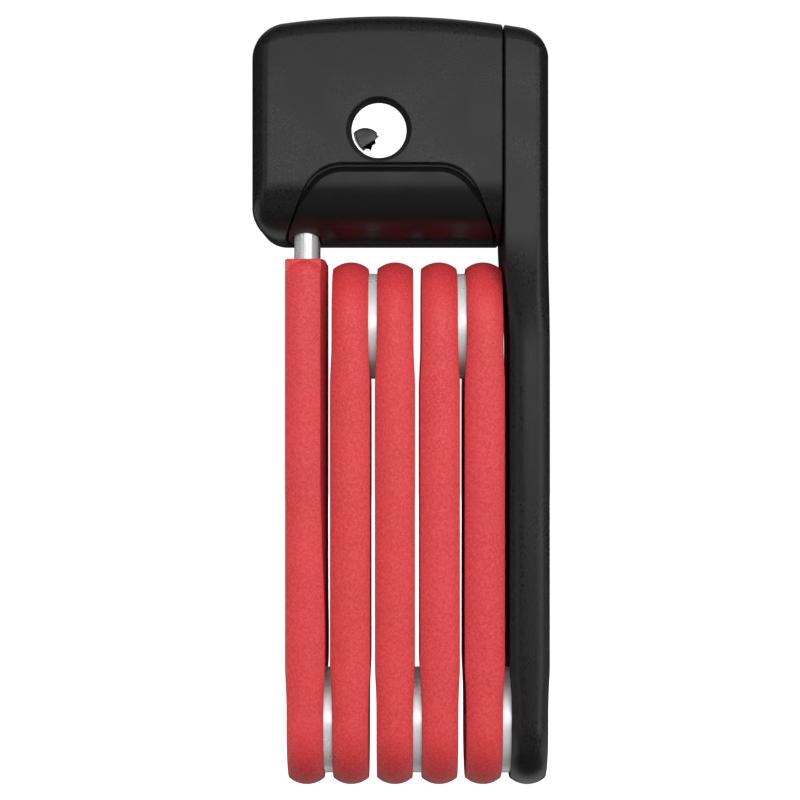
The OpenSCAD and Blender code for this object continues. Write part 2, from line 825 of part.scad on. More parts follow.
// ---- Nodes -------------------------------------------------------------------------------------

arm_plate();
arm_cover();
swivel_rivet();
swivel_disc();
for (i = [1:4])
    link_plate(i);
tongue_plate();  // link_plate_5
for (i = [1:4])
    link_cover(i);
tongue_cover();  // link_cover_5
for (i = [1:5]) {
    hinge_rivet(i);
    hinge_disc(i);
}
head_cover();
rear_cover();
arch_panel();
lock_housing();
cover_screws();
cylinder_barrel();
plug_face();
plug_core();
detainer_discs();
sidebar();
drill_guard();
keyway_shutter();
retaining_clip();
cam();
latch_bolt();
latch_spring();
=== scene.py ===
"""Folding bike lock: moulded covers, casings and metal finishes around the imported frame."""
import json
import math

import bmesh
import bpy
import numpy as np
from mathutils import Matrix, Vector

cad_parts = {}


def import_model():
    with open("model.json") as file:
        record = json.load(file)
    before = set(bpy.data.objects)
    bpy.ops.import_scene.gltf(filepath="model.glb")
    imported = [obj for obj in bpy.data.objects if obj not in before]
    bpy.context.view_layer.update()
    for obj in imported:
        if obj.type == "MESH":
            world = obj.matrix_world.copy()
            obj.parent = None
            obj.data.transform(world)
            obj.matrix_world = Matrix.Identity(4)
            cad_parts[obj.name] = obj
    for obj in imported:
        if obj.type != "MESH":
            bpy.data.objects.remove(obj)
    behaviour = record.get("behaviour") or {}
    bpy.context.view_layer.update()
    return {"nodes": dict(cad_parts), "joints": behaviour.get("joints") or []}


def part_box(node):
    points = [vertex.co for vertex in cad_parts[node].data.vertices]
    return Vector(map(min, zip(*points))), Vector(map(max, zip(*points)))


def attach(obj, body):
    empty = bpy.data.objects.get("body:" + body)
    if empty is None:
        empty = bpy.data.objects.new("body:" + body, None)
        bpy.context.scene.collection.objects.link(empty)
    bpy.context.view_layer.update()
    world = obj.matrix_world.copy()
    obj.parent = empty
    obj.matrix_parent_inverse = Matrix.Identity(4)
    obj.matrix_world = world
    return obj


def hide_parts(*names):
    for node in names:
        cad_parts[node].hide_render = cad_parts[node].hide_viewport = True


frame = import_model()
NODES = frame["nodes"]
JOINTS = {j["name"]: j for j in frame["joints"]}
MM = 0.001

# ---- Sizes read from the frame -------------------------------------------------------------------

LINKS = range(1, 6)
LOW_Z = JOINTS["hinge_1_fold"]["pos_m"][2]
HIGH_Z = JOINTS["hinge_2_fold"]["pos_m"][2]
SWIVEL_Z = JOINTS["head_swivel"]["pos_m"][2]
KEY_X, _, KEY_Z = JOINTS["key_turn"]["pos_m"]
ARM_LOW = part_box("arm_cover")[0]
HEAD_LOW, HEAD_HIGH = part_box("head_cover")
HEAD_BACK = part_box("rear_cover")[1][1]
PART_Y = HEAD_HIGH[1]
PLATE_LOW, PLATE_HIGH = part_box("link_plate_1")
PLATE_R = (PLATE_HIGH[1] - PLATE_LOW[1]) / 2
PLATE_T = PLATE_HIGH[0] - PLATE_LOW[0]
COVER_LOW, COVER_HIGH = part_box("link_cover_1")
LINK_R = (COVER_HIGH[1] - COVER_LOW[1]) / 2
LINK_T = COVER_HIGH[0] - COVER_LOW[0]
LINK_TOP = COVER_HIGH[2]
DISC_R = (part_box("hinge_disc_1")[1][1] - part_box("hinge_disc_1")[0][1]) / 2
RIVET_R = (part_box("hinge_rivet_1")[1][1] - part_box("hinge_rivet_1")[0][1]) / 2
BARREL_R = (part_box("cylinder_barrel")[1][0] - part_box("cylinder_barrel")[0][0]) / 2
ARM_X = (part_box("arm_plate")[0][0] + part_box("arm_plate")[1][0]) / 2

# Crown around a link's edge and its height, the fillet beside it, and the dishes around a hinge
CROWN_R = 7.2 * MM
CROWN_DROP = CROWN_R - math.sqrt(CROWN_R ** 2 - (LINK_T / 2) ** 2)
FILLET_R = 0.5 * MM
DISH_R = 18.6 * MM
DISH_FLAT_R = 12.6 * MM
DISH_NEAR = 0.45 * MM
DISH_FAR = 0.35 * MM
WINDOW_GAP = 0.4 * MM
POCKET_OVERLAP = 0.05 * MM

# Last link: corners of its flat top, the long bevel, how far its plate rises over the top hinge, and
# the tongue's half width along Y
TOP_CORNER_R = 3 * MM
BEVEL_X = 1.0 * MM
BEVEL_Y = 5 * MM
PLATE_RISE = 8 * MM
TONGUE_HALF_Y = 8.5 * MM
COVER_FIT = 0.12 * MM
PANEL_FIT = 0.4 * MM

# Casing of the lock head
WALL = 2.2 * MM
EDGE_R = 4 * MM
EDGE_FRONT_R = 13 * MM
EDGE_BACK_R = 5 * MM
CORNER_TOP_R = 8 * MM
CORNER_LOW_R = 6.5 * MM
TOP_R = 170 * MM
TOP_X = -2.5 * MM
KEYHOLE_R = BARREL_R + 0.5 * MM
SCREW_R = 2.5 * MM
SCREW_DEPTH = 1.25 * MM
PART_GAP = 0.1 * MM
EASE = 0.3 * MM
TINY = 0.02 * MM

# Arm: corner and edge of its top, how far its right side draws in above the flare, where the flare
# starts below the top hinge and ends above the links, and how far up the dish's points are close
ARM_CORNER_R = 7 * MM
ARM_EDGE_R = 3.7 * MM
SLIM_RIGHT = 0.4 * MM
FLARE_BELOW = 5 * MM
FLARE_ABOVE = 6 * MM
DISH_SPAN = 22 * MM

# Arch of the front panel: its outline, the groove along it, the flange behind it and the tongue's slot
ARCH_X = -2 * MM
ARCH_TOP = 137 * MM
ARCH_FLAT = 10.3 * MM
ARCH_R = 9.6 * MM
ARCH_SPLAY = math.radians(23)
ARCH_FOOT = 3 * MM
ARCH_GROOVE = 1.8 * MM
GROOVE_SLOPE = 1.2 * MM
PANEL_SINK = 0.6 * MM
FLANGE_SINK = 2.1 * MM
FLANGE_FIT = 0.05 * MM
GROOVE_FLOOR = 0.5 * MM
PANEL_BACK_GAP = 0.2 * MM
PANEL_SLOT = 6 * MM


def cad_x(node):
    """Middle of a CAD node across the pack."""
    low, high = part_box(node)
    return (low[0] + high[0]) / 2


# ---- Mesh tools ----------------------------------------------------------------------------------

def new_piece(name, points, faces):
    """A mesh object at the origin from points and faces; doubles are merged and faces turned outwards."""
    mesh = bpy.data.meshes.new(name)
    mesh.from_pydata(np.asarray(points, float).reshape(-1, 3).tolist(), [], faces)
    piece = bpy.data.objects.new(name, mesh)
    bpy.context.scene.collection.objects.link(piece)
    clean(mesh)
    return piece


def clean(mesh, gap=1e-6):
    """Merges doubles, drops edges and faces without size, and turns all faces outwards."""
    bm = bmesh.new()
    bm.from_mesh(mesh)
    bmesh.ops.remove_doubles(bm, verts=bm.verts, dist=gap)
    bmesh.ops.dissolve_degenerate(bm, edges=bm.edges, dist=gap)
    bmesh.ops.recalc_face_normals(bm, faces=bm.faces)
    bm.to_mesh(mesh)
    bm.free()


def grid_faces(rows, columns, wrap_columns=True):
    """Quads of a grid of points; the last column joins the first if they wrap round."""
    across = np.arange(columns if wrap_columns else columns - 1)
    r, c = np.meshgrid(np.arange(rows - 1), across, indexing="ij")
    r2, c2 = r + 1, (c + 1) % columns
    quads = np.stack([r * columns + c, r2 * columns + c, r2 * columns + c2, r * columns + c2], -1)
    return quads.reshape(-1, 4).tolist()


def tube(name, rings):
    """A closed solid through rings of shape (sections, points, 3), with a flat face over each end."""
    sections, count = rings.shape[:2]
    faces = grid_faces(sections, count)
    faces.append(list(range(count)))
    faces.append([(sections - 1) * count + i for i in reversed(range(count))])
    return new_piece(name, rings, faces)


def finish_mesh(piece, angle=28):
    """Smooth shading, with edges sharper than angle left crisp."""
    piece.data.shade_smooth()
    piece.data.set_sharp_from_angle(angle=math.radians(angle))
    return piece


def join_with(piece, tools, operation):
    """Applies an exact boolean of each tool to the piece and removes the tools."""
    for tool in tools:
        step = piece.modifiers.new("cut", "BOOLEAN")
        step.operation = operation
        step.solver = "EXACT"
        step.object = tool
        graph = bpy.context.evaluated_depsgraph_get()
        cut = bpy.data.meshes.new_from_object(piece.evaluated_get(graph))
        piece.modifiers.clear()
        old = piece.data
        piece.data = cut
        cut.name = old.name
        bpy.data.meshes.remove(old)
        bpy.data.objects.remove(tool)
    return piece


def carve(piece, *tools):
    """Takes the tools away from the piece."""
    return join_with(piece, tools, "DIFFERENCE")


def lathe_x(name, radii, stations, z, count=96):
    """A solid of revolution about an X axis at height z: radius against X station."""
    a = np.linspace(0, 2 * np.pi, count, endpoint=False)
    r, x = np.asarray(radii)[:, None], np.asarray(stations)[:, None]
    rings = np.stack([x + 0 * a, r * np.cos(a), z + r * np.sin(a)], -1)
    return tube(name, rings)


def lathe_y(name, radii, stations, x, z, count=96):
    """A solid of revolution about a Y axis through (x, z): radius against Y station."""
    a = np.linspace(0, 2 * np.pi, count, endpoint=False)
    r, y = np.asarray(radii)[:, None], np.asarray(stations)[:, None]
    rings = np.stack([x + r * np.cos(a), y + 0 * a, z + r * np.sin(a)], -1)
    return tube(name, rings)


def stadium_loop(z0, z1, r, count=48):
    """Points (y, z) round a stadium with centres at z0 and z1: two half circles of radius r."""
    a = np.linspace(0, np.pi, count)
    top = np.stack([r * np.cos(a), z1 + r * np.sin(a)], -1)
    bottom = np.stack([-r * np.cos(a), z0 - r * np.sin(a)], -1)
    return np.concatenate([top, bottom])


def flat_bar(name, x0, x1, z0, z1, r):
    """The steel plate's shape as a solid, for the pocket inside a cover."""
    loop = stadium_loop(z0, z1, r)
    rings = np.stack([np.column_stack([np.full(len(loop), x), loop]) for x in (x0, x1)])
    return tube(name, rings)


def smooth_step(t):
    """3t^2 - 2t^3 between 0 and 1."""
    t = np.clip(t, 0, 1)
    return t * t * (3 - 2 * t)


# ---- Link covers ---------------------------------------------------------------------------------

def crown_profile(steps=14):
    """Half a link's section as (distance from the middle, x): flat side, fillet arc, crown arc, mirrored.

    The crown is an arc of CROWN_R that touches LINK_R. The fillet touches it from inside and touches
    the flat side, so its centre is CROWN_R - FILLET_R from the crown's centre."""
    lift = LINK_T / 2 - FILLET_R
    reach = math.sqrt((CROWN_R - FILLET_R) ** 2 - lift ** 2)
    turn = math.atan2(lift, reach)
    centre = LINK_R - CROWN_R
    side = np.linspace(0, centre + reach, 22)[:-1]
    a = np.linspace(np.pi / 2, turn, steps)
    b = np.linspace(turn, 0, steps)[1:]
    d = np.concatenate([side, centre + reach + FILLET_R * np.cos(a), centre + CROWN_R * np.cos(b)])
    x = np.concatenate([np.full(len(side), LINK_T / 2), lift + FILLET_R * np.sin(a), CROWN_R * np.sin(b)])
    return np.concatenate([d, d[-2::-1]]), np.concatenate([x, -x[-2::-1]])


def link_outline(square_top):
    """Outline points (y, z) of a link and the middle point that each shrinks towards.

    Two half circles of LINK_R and straight sides, closed. With a square_top above 0, the upper half
    circle becomes a flat end whose corners have that radius; it still shrinks towards HIGH_Z."""
    z0, z1, r = LOW_Z, HIGH_Z, LINK_R
    a = np.linspace(0, np.pi, 73)
    bottom = np.stack([-r * np.cos(a), z0 - r * np.sin(a)], -1)
    z = np.linspace(z0, z1, 92)[1:-1]
    up = np.stack([np.full(len(z), r), z], -1)
    down = np.stack([np.full(len(z), -r), z[::-1]], -1)
    top = np.stack([r * np.cos(a), z1 + r * np.sin(a)], -1)
    if square_top:
        q = square_top
        c = np.linspace(0, np.pi / 2, 14)
        rise = np.linspace(z1, z1 + r - q, 16)[:-1]
        flat = np.linspace(r - q, 0, 16)[1:]
        half = np.concatenate([np.stack([np.full(len(rise), r), rise], -1),
                               np.stack([r - q + q * np.cos(c), z1 + r - q + q * np.sin(c)], -1),
                               np.stack([flat, np.full(len(flat), z1 + r)], -1)])
        top = np.concatenate([half, half[-2::-1] * [-1, 1]])
    loop = np.concatenate([bottom, up, top, down])
    middle = np.stack([np.zeros(len(loop)), np.clip(loop[:, 1], z0, z1)], -1)
    return loop, middle


def dished(x, y, z, x0, dishes):
    """Moves the side faces inwards around hinges; dishes are (hinge height, side, depth).

    x - x0 is scaled by 1 - depth / (LINK_T / 2) * f, where f is smooth_step of the distance from the
    hinge between DISH_R, where it is 0, and DISH_FLAT_R, where it is 1."""
    half = LINK_T / 2
    for centre_z, side, depth in dishes:
        r = np.hypot(y, z - centre_z)
        fall = smooth_step((DISH_R - r) / (DISH_R - DISH_FLAT_R))
        on_side = (x - x0) * side > 0
        x = np.where(on_side, x0 + (x - x0) * (1 - depth / half * fall), x)
    return x


def covered_bar(name, x0, dishes, square_top):
    """A link's outer shape: the crowned section carried round the outline, then dished at the hinges.

    A point of the outline p with middle m becomes m + d / LINK_R * (p - m) at the section's d."""
    loop, middle = link_outline(square_top)
    d, x = crown_profile()
    share = (d / LINK_R)[:, None, None]
    flat = middle[None] + share * (loop - middle)[None]
    xs = x0 + np.repeat(x[:, None], len(loop), 1)
    xs = dished(xs, flat[..., 0], flat[..., 1], x0, dishes)
    points = np.stack([xs, flat[..., 0], flat[..., 1]], -1)
    return new_piece(name, points, grid_faces(len(d), len(loop)))


def window(name, x_plate, side, z, r, face):
    """Tool for a round window in a cover's side, from the plate out, with an eased edge at the face."""
    inner, lip, outer = x_plate - side * POCKET_OVERLAP, face - side * EASE, face + side * EASE
    return lathe_x(name, [r, r, r + 2 * EASE], [inner, lip, outer], z)


def hinge_at(i):
    """Height of hinge i: the odd ones are at the bottom."""
    return LOW_Z if i % 2 else HIGH_Z


def link_cover(i):
    """Cover of link i: disc windows towards its neighbours, rivet windows on the opposite faces."""
    x0 = cad_x(f"link_cover_{i}")
    hinges = [(hinge_at(i), 1)] + ([(hinge_at(i + 1), -1)] if i < 5 else [])
    dishes = [(z, side * s, depth) for z, side in hinges for s, depth in ((1, DISH_NEAR), (-1, DISH_FAR))]
    last = i == 5
    piece = covered_bar(f"red_cover_{i}", x0, dishes, TOP_CORNER_R if last else 0.0)
    if last:
        join_with(piece, [square_end(x0)], "UNION")
    top = HIGH_Z + PLATE_RISE - PLATE_R if last else HIGH_Z
    half = PLATE_T / 2
    tools = [flat_bar("pocket", x0 - half, x0 + half, LOW_Z, top, PLATE_R)]
    for z, side in hinges:
        near = x0 + side * (LINK_T / 2 - DISH_NEAR)
        far = x0 - side * (LINK_T / 2 - DISH_FAR)
        tools.append(window("disc", x0 + side * half, side, z, DISC_R + WINDOW_GAP, near))
        tools.append(window("rivet", x0 - side * half, -side, z, RIVET_R + WINDOW_GAP, far))
    if last:
        tools.append(tongue_slot(x0, HIGH_Z, LINK_TOP + MM, COVER_FIT))
        tools += [long_bevel(x0, side) for side in (-1, 1)]
    return finish_mesh(carve(piece, *tools))


def square_end(x0):
    """Flat-topped block behind the last link's crown, with eased top edges."""
    half_x, half_y = LINK_T / 2 - TINY, LINK_R - CROWN_DROP
    rings = []
    for z, inset in ((HIGH_Z, 0), (LINK_TOP - EASE, 0), (LINK_TOP, EASE)):
        x, y = half_x - inset, half_y - inset
        rings.append([[x0 + x, -y, z], [x0 + x, y, z], [x0 - x, y, z], [x0 - x, -y, z]])
    return tube("square_end", np.array(rings))


def long_bevel(x0, side):
    """Tool that slants the last link's edge towards its neighbour; side is -1 at the front, +1 behind.

    The cut runs from w inside the edge, on the face, to BEVEL_Y behind it, on the side. Its width w is
    BEVEL_X times smooth_step of the height, from 0 over the disc to 1 at mid-length, less a hair that
    starts the cut outside the link. The cut's plane goes on past both ends by the share over."""
    over, hair = 0.4, 0.05 * MM
    edge_x, edge_y = x0 + LINK_T / 2, LINK_R - CROWN_DROP
    z = np.linspace(LOW_Z + DISH_FLAT_R, LINK_TOP + MM, 40)
    width = BEVEL_X * smooth_step((z - LOW_Z - DISH_FLAT_R) / (HIGH_Z - LOW_Z) * 2) - hair
    near_y, far_y = edge_y + BEVEL_Y * over, edge_y - BEVEL_Y * (1 + over)
    clear_x = np.full(len(z), edge_x + MM)
    x = np.stack([edge_x - width * (1 + over), clear_x, clear_x, edge_x + width * over + 2 * hair], 1)
    y = side * np.broadcast_to([near_y, near_y, far_y, far_y], x.shape)
    rings = np.stack([x, y, np.repeat(z[:, None], 4, 1)], -1)
    return tube("bevel", rings[:, ::-side])


def tongue_slot(x0, z0, z1, gap):
    """Upright prism of the tongue's full-round section, grown by gap."""
    low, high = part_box("link_plate_5")
    half_t = (high[0] - low[0]) / 2
    half_y = TONGUE_HALF_Y - half_t
    r = half_t + gap
    a = np.linspace(0, np.pi, 24)
    loop = np.concatenate([np.stack([r * np.cos(a), half_y + r * np.sin(a)], -1),
                           np.stack([-r * np.cos(a), -half_y - r * np.sin(a)], -1)])
    rings = [np.column_stack([x0 + loop[:, 0], loop[:, 1], np.full(len(loop), z)]) for z in (z0, z1)]
    return tube("slot", np.stack(rings))


# ---- Lock head -----------------------------------------------------------------------------------

def side_loop(half_y, low, high, r_front, r_back, r_high, steps=14):
    """Rounded rectangles in YZ, one per section: arrays of half depth, bottom, top and corner radii."""
    turn = np.linspace(0, np.pi / 2, steps)
    corners = ((1, 1, r_high, 0.0), (-1, 1, r_high, 0.5), (-1, -1, r_front, 1.0), (1, -1, r_back, 1.5))
    y, z = [], []
    for sy, sz, radius, start in corners:
        r = radius[:, None]
        edge = (high if sz > 0 else low)[:, None]
        a = start * np.pi + turn[None]
        y.append(sy * (half_y[:, None] - r) + r * np.cos(a))
        z.append(edge - sz * r + r * np.sin(a))
    return np.concatenate(y, 1), np.concatenate(z, 1)


def crown_height(x, wall_x, side, r, inset=0.0):
    """Height of the crowned top with a corner of radius r beside a wall at wall_x; side is -1 or +1.

    The top is an arc of TOP_R about (TOP_X, top - TOP_R). The corner's circle touches the wall and,
    from inside, the arc, so its centre is TOP_R - r from the arc's centre."""
    big = TOP_R - inset
    base = HEAD_HIGH[2] - TOP_R
    middle = wall_x - side * r
    centre = base + math.sqrt((big - r) ** 2 - (middle - TOP_X) ** 2)
    touch = TOP_X + (middle - TOP_X) * big / (big - r)
    arc = base + np.sqrt(big ** 2 - (x - TOP_X) ** 2)
    corner = centre + np.sqrt(np.clip(r ** 2 - (x - middle) ** 2, 0, None))
    return np.where((x - touch) * side > 0, corner, arc)


def quarter(distance, size):
    """How far a rounding of radius size has grown: sqrt(1 - (1 - distance / size)^2), from 0 to 1."""
    return np.sqrt(np.clip(1 - (1 - np.clip(distance / size, 0, 1)) ** 2, 0, 1))


def head_solid(name, inset=0.0, ease=EASE):
    """The lock head's shape, inset all round, as sections across X.

    Depth and edge radii grow from the left end as a quarter circle, and so does the lower left
    corner."""
    x0, x1 = HEAD_LOW[0] + inset, HEAD_HIGH[0] - inset
    edge, front_r, back_r = EDGE_R - inset / 2, EDGE_FRONT_R - inset, EDGE_BACK_R - inset
    low_c = CORNER_LOW_R - inset
    ends = (1 - np.cos(np.linspace(0, np.pi / 2, 30))) * low_c
    x = np.concatenate([x0 + ends, np.linspace(x0 + low_c, x1 - ease, 26)[1:], [x1]])
    corner, rounding = quarter(x - x0, low_c), quarter(x - x0, edge)
    high = crown_height(x, x0, -1, CORNER_TOP_R - inset, inset)
    low = HEAD_LOW[2] + inset + low_c * (1 - corner)
    half_y = HEAD_BACK - inset - edge * (1 - rounding)
    half_y[-1] -= ease
    high[-1] -= ease
    low[-1] += ease
    y, z = side_loop(half_y, low, high, front_r * corner + TINY, back_r * corner + TINY,
                     edge * rounding + TINY)
    return tube(name, np.stack([np.repeat(x[:, None], y.shape[1], 1), y, z], -1))


def arch_loop(inset):
    """The arch's outline (x, z): splayed legs, round shoulders and a flat top, inset by a distance."""
    r = ARCH_R - inset
    shoulder = ARCH_TOP - ARCH_R
    a = np.linspace(ARCH_SPLAY, np.pi / 2, 20)
    arc = np.stack([ARCH_FLAT + r * np.cos(a), shoulder + r * np.sin(a)], -1)
    foot_z = HEAD_LOW[2] - ARCH_FOOT
    foot = [arc[0, 0] + (arc[0, 1] - foot_z) * math.tan(ARCH_SPLAY), foot_z]
    half = np.concatenate([[foot], arc])
    loop = np.concatenate([half, half[::-1] * [-1, 1]])
    return loop + [ARCH_X, 0]


def arch_prism(name, stations):
    """Tool of the arch's outline from front to back; stations are (y, inset) pairs."""
    rings = []
    for y, inset in stations:
        loop = arch_loop(inset)
        rings.append(np.column_stack([loop[:, 0], np.full(len(loop), y), loop[:, 1]]))
    return tube(name, np.stack(rings))


def slab(name, low, high):
    """A box between two corners, as a cutting tool."""
    (x0, y0, z0), (x1, y1, z1) = low, high
    ring = [[x0, y0], [x1, y0], [x1, y1], [x0, y1]]
    return tube(name, np.array([[[x, y, z] for x, y in ring] for z in (z0, z1)]))


def key_hole(y1):
    """Tool for the hole in front of the key cylinder: eased at the face, then straight."""
    front = -HEAD_BACK
    flare = 0.15 * MM
    radii = [KEYHOLE_R + 2 * flare, KEYHOLE_R, KEYHOLE_R]
    return lathe_y("keyhole", radii, [front - flare, front + flare, y1], KEY_X, KEY_Z)


def swivel_window():
    """Tool for the round opening in the casing's right wall around the swivel disc."""
    x1 = HEAD_HIGH[0]
    r = DISC_R + WINDOW_GAP
    return lathe_x("swivel", [r, r], [x1 - 2 * WALL, x1 + MM], SWIVEL_Z)


def screw_hole(x, z):
    """Tool for a screw head's hole in the back, eased where it meets the face."""
    radii = [SCREW_R + 0.4 * MM, SCREW_R + 0.05 * MM, SCREW_R, SCREW_R]
    depths = np.array([-0.2 * MM, 0.15 * MM, 0.4 * MM, SCREW_DEPTH])
    return lathe_y("screw", radii, HEAD_BACK - depths, x, z, 48)


def head_covers():
    """Front and rear casing: the head's shape less its inside, parted at PART_Y."""
    far, top = 40 * MM, 2 * HEAD_HIGH[2]
    front_y = -HEAD_BACK
    arch = [(front_y - EASE, -2 * EASE), (front_y + EASE, 0), (PART_Y + MM, 0)]
    front = carve(head_solid("lock_head_front"), head_solid("inside", WALL, 0.0),
                  slab("rear", [-far, PART_Y - PART_GAP, 0], [far, far, top]),
                  arch_prism("arch", arch), key_hole(0), swivel_window())
    rear = carve(head_solid("lock_head_rear"), head_solid("inside", WALL, 0.0),
                 slab("front", [-far, -far, 0], [far, PART_Y + PART_GAP, top]),
                 swivel_window(), *[screw_hole(x, z) for x, z in screw_places()])
    return finish_mesh(front), finish_mesh(rear)


def screw_places():
    """Middles (x, z) of the four screw heads: the CAD node's points, split at the middle of its box."""
    low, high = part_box("cover_screws")
    mesh = NODES["cover_screws"].data
    points = np.empty(3 * len(mesh.vertices))
    mesh.vertices.foreach_get("co", points)
    points = points.reshape(-1, 3)
    mid_x, mid_z = (low[0] + high[0]) / 2, (low[2] + high[2]) / 2
    places = []
    for sx in (-1, 1):
        for sz in (-1, 1):
            group = points[((points[:, 0] - mid_x) * sx > 0) & ((points[:, 2] - mid_z) * sz > 0)]
            middle = (group.min(0) + group.max(0)) / 2
            places.append((middle[0], middle[2]))
    return places


def arch_panel():
    """Panel under the arch: a raised field inside the groove on a lower flange, open for the tongue."""
    front_y = -HEAD_BACK
    back = PART_Y - PANEL_BACK_GAP
    field = head_solid("arch_field", PANEL_SINK)
    stations = [(front_y - MM, ARCH_GROOVE + GROOVE_SLOPE), (front_y + PANEL_SINK, ARCH_GROOVE),
                (front_y + FLANGE_SINK, GROOVE_FLOOR), (back, GROOVE_FLOOR)]
    join_with(field, [arch_prism("field", stations)], "INTERSECT")
    flange = head_solid("arch_flange", FLANGE_SINK)
    stations = [(front_y - MM, FLANGE_FIT), (back, FLANGE_FIT)]
    join_with(flange, [arch_prism("flange", stations)], "INTERSECT")
    field.name = "lower_front_panel"
    join_with(field, [flange], "UNION")
    slot = tongue_slot(cad_x("link_plate_5"), HEAD_LOW[2] - MM, HEAD_LOW[2] + PANEL_SLOT, PANEL_FIT)
    return finish_mesh(carve(field, head_solid("inside", WALL, 0.0), slot, key_hole(0)))


# ---- Arm -----------------------------------------------------------------------------------------

def section_share(points):
    """Share of the path's length at each point, from 0 to 1."""
    steps = np.hypot(*np.diff(points, axis=0).T)
    length = np.concatenate([[0], np.cumsum(steps)])
    return length / length[-1]


def along(path, share):
    """Points at given shares of a path's length."""
    own = section_share(path)
    return np.stack([np.interp(share, own, path[:, k]) for k in (0, 1)], -1)


def arm_sections():
    """Two half outlines (x, y) of the arm with matching points: the crowned link and the wide block.

    Both run from the middle of the right side over the front to the middle of the left side. The
    corners match, and between them the points match by their share of the path."""
    d, across = crown_profile()
    crown = np.stack([ARM_X + across, -d], -1)
    x0, x1, y0 = ARM_LOW[0], ARM_X + LINK_T / 2, -HEAD_BACK
    a = np.linspace(0, np.pi / 2, 20)
    edge = np.stack([x1 - ARM_EDGE_R + ARM_EDGE_R * np.cos(a), y0 + ARM_EDGE_R - ARM_EDGE_R * np.sin(a)], -1)
    front = np.concatenate([edge, [[x0 + EASE, y0], [x0, y0 + EASE]]])
    flat = int(np.argmax(across < across[0] - 1e-9)) - 1
    n = len(d)
    share = section_share(crown[flat:n - flat])
    block = np.concatenate([
        np.stack([np.full(flat, x1), np.linspace(0, front[0, 1], flat, endpoint=False)], -1),
        along(front, share),
        np.stack([np.full(flat, x0), np.linspace(front[-1, 1], 0, flat + 1)[1:]], -1)])
    return crown, block


def arm_solid():
    """The arm's outer shape: a round crowned end, a crowned bar and a flare to the head's section.

    Sections up Z are crown + rise x (block - crown), where rise is a smooth step of the height. The
    round end is the lowest section's front half turned about the hinge to its rear half."""
    crown, block = arm_sections()
    flare_low, flare_high = HIGH_Z - FLARE_BELOW, LINK_TOP + FLARE_ABOVE
    dish_end, above = LOW_Z + DISH_SPAN, HEAD_HIGH[2] + 4 * MM
    z = np.concatenate([np.linspace(LOW_Z, dish_end, 30)[:-1], np.linspace(dish_end, flare_low, 20)[:-1],
                        np.linspace(flare_low, flare_high, 64),
                        np.linspace(flare_high, above, 12)[1:]])
    rise = smooth_step((z - flare_low) / (flare_high - flare_low))[:, None, None]
    half = crown + rise * (block - crown)
    right = np.clip((half[..., 0] - ARM_X) / (block[0, 0] - ARM_X), 0, 1)
    half[..., 0] -= SLIM_RIGHT * rise[..., 0] * right
    loop = np.concatenate([half, half[:, -2:0:-1] * [1, -1]], 1)
    rings = np.concatenate([loop, np.repeat(z[:, None, None], loop.shape[1], 1)], -1)
    turn = np.linspace(0, np.pi, 73)[:, None]
    across, reach = crown[:, 0] + 0 * turn, crown[:, 1]
    fan = np.stack([across, reach * np.cos(turn), LOW_Z + reach * np.sin(turn)], -1)
    points = np.concatenate([rings.reshape(-1, 3), fan.reshape(-1, 3)])
    dishes = [(LOW_Z, -1, DISH_NEAR), (LOW_Z, 1, DISH_FAR)]
    points[:, 0] = dished(points[:, 0], points[:, 1], points[:, 2], ARM_X, dishes)
    levels, count = rings.shape[:2]
    faces = grid_faces(levels, count)
    faces.append([(levels - 1) * count + i for i in reversed(range(count))])
    fan_faces = np.array(grid_faces(len(turn), len(crown), wrap_columns=False)) + levels * count
    return new_piece("arm_cover_shell", points, faces + fan_faces.tolist())


def top_waste():
    """Everything above the arm's rounded top: a slab less the crowned, round-edged block."""
    x0, x1 = ARM_LOW[0] - TINY, ARM_X + LINK_T / 2 - SLIM_RIGHT + TINY
    corner = ARM_CORNER_R
    right = x1 - corner * (1 - np.sin(np.linspace(0, np.pi / 2, 30)))
    x = np.concatenate([[x0, x0 + EASE], np.linspace(x0 + EASE, x1 - corner, 6)[1:-1], right])
    rounding = quarter(x1 - x, ARM_EDGE_R)
    high = crown_height(x, x1, 1, corner)
    high[0] -= EASE
    half_y = HEAD_BACK + TINY - ARM_EDGE_R * (1 - rounding)
    radius = ARM_EDGE_R * rounding + TINY
    low, sharp = np.full(len(x), HEAD_LOW[2]), np.full(len(x), TINY)
    y, z = side_loop(half_y, low, high, sharp, sharp, radius)
    block = tube("block", np.stack([np.repeat(x[:, None], y.shape[1], 1), y, z], -1))
    far = 5 * MM
    waste = slab("waste", [x0 - far, -HEAD_BACK - far, SWIVEL_Z + DISC_R],
                 [x1 + far, HEAD_BACK + far, HEAD_HIGH[2] + 2 * far])
    return carve(waste, block)


def arm_cover():
    """The arm's cover: its outer shape under the rounded top, less the plate and the windows."""
    piece = arm_solid()
    half = PLATE_T / 2
    left, right = ARM_X - LINK_T / 2, ARM_X + LINK_T / 2
    carve(piece, top_waste(), flat_bar("pocket", ARM_X - half, ARM_X + half, LOW_Z, SWIVEL_Z, PLATE_R),
          window("disc", ARM_X - half, -1, LOW_Z, DISC_R + WINDOW_GAP, left + DISH_NEAR),
          window("rivet", ARM_X + half, 1, LOW_Z, RIVET_R + WINDOW_GAP, right - DISH_FAR),
          window("swivel", ARM_X - half, -1, SWIVEL_Z, DISC_R + WINDOW_GAP, ARM_LOW[0]),
          window("pin", ARM_X + half, 1, SWIVEL_Z, RIVET_R + WINDOW_GAP, right - SLIM_RIGHT))
    return finish_mesh(piece)


# ---- Materials -----------------------------------------------------------------------------------

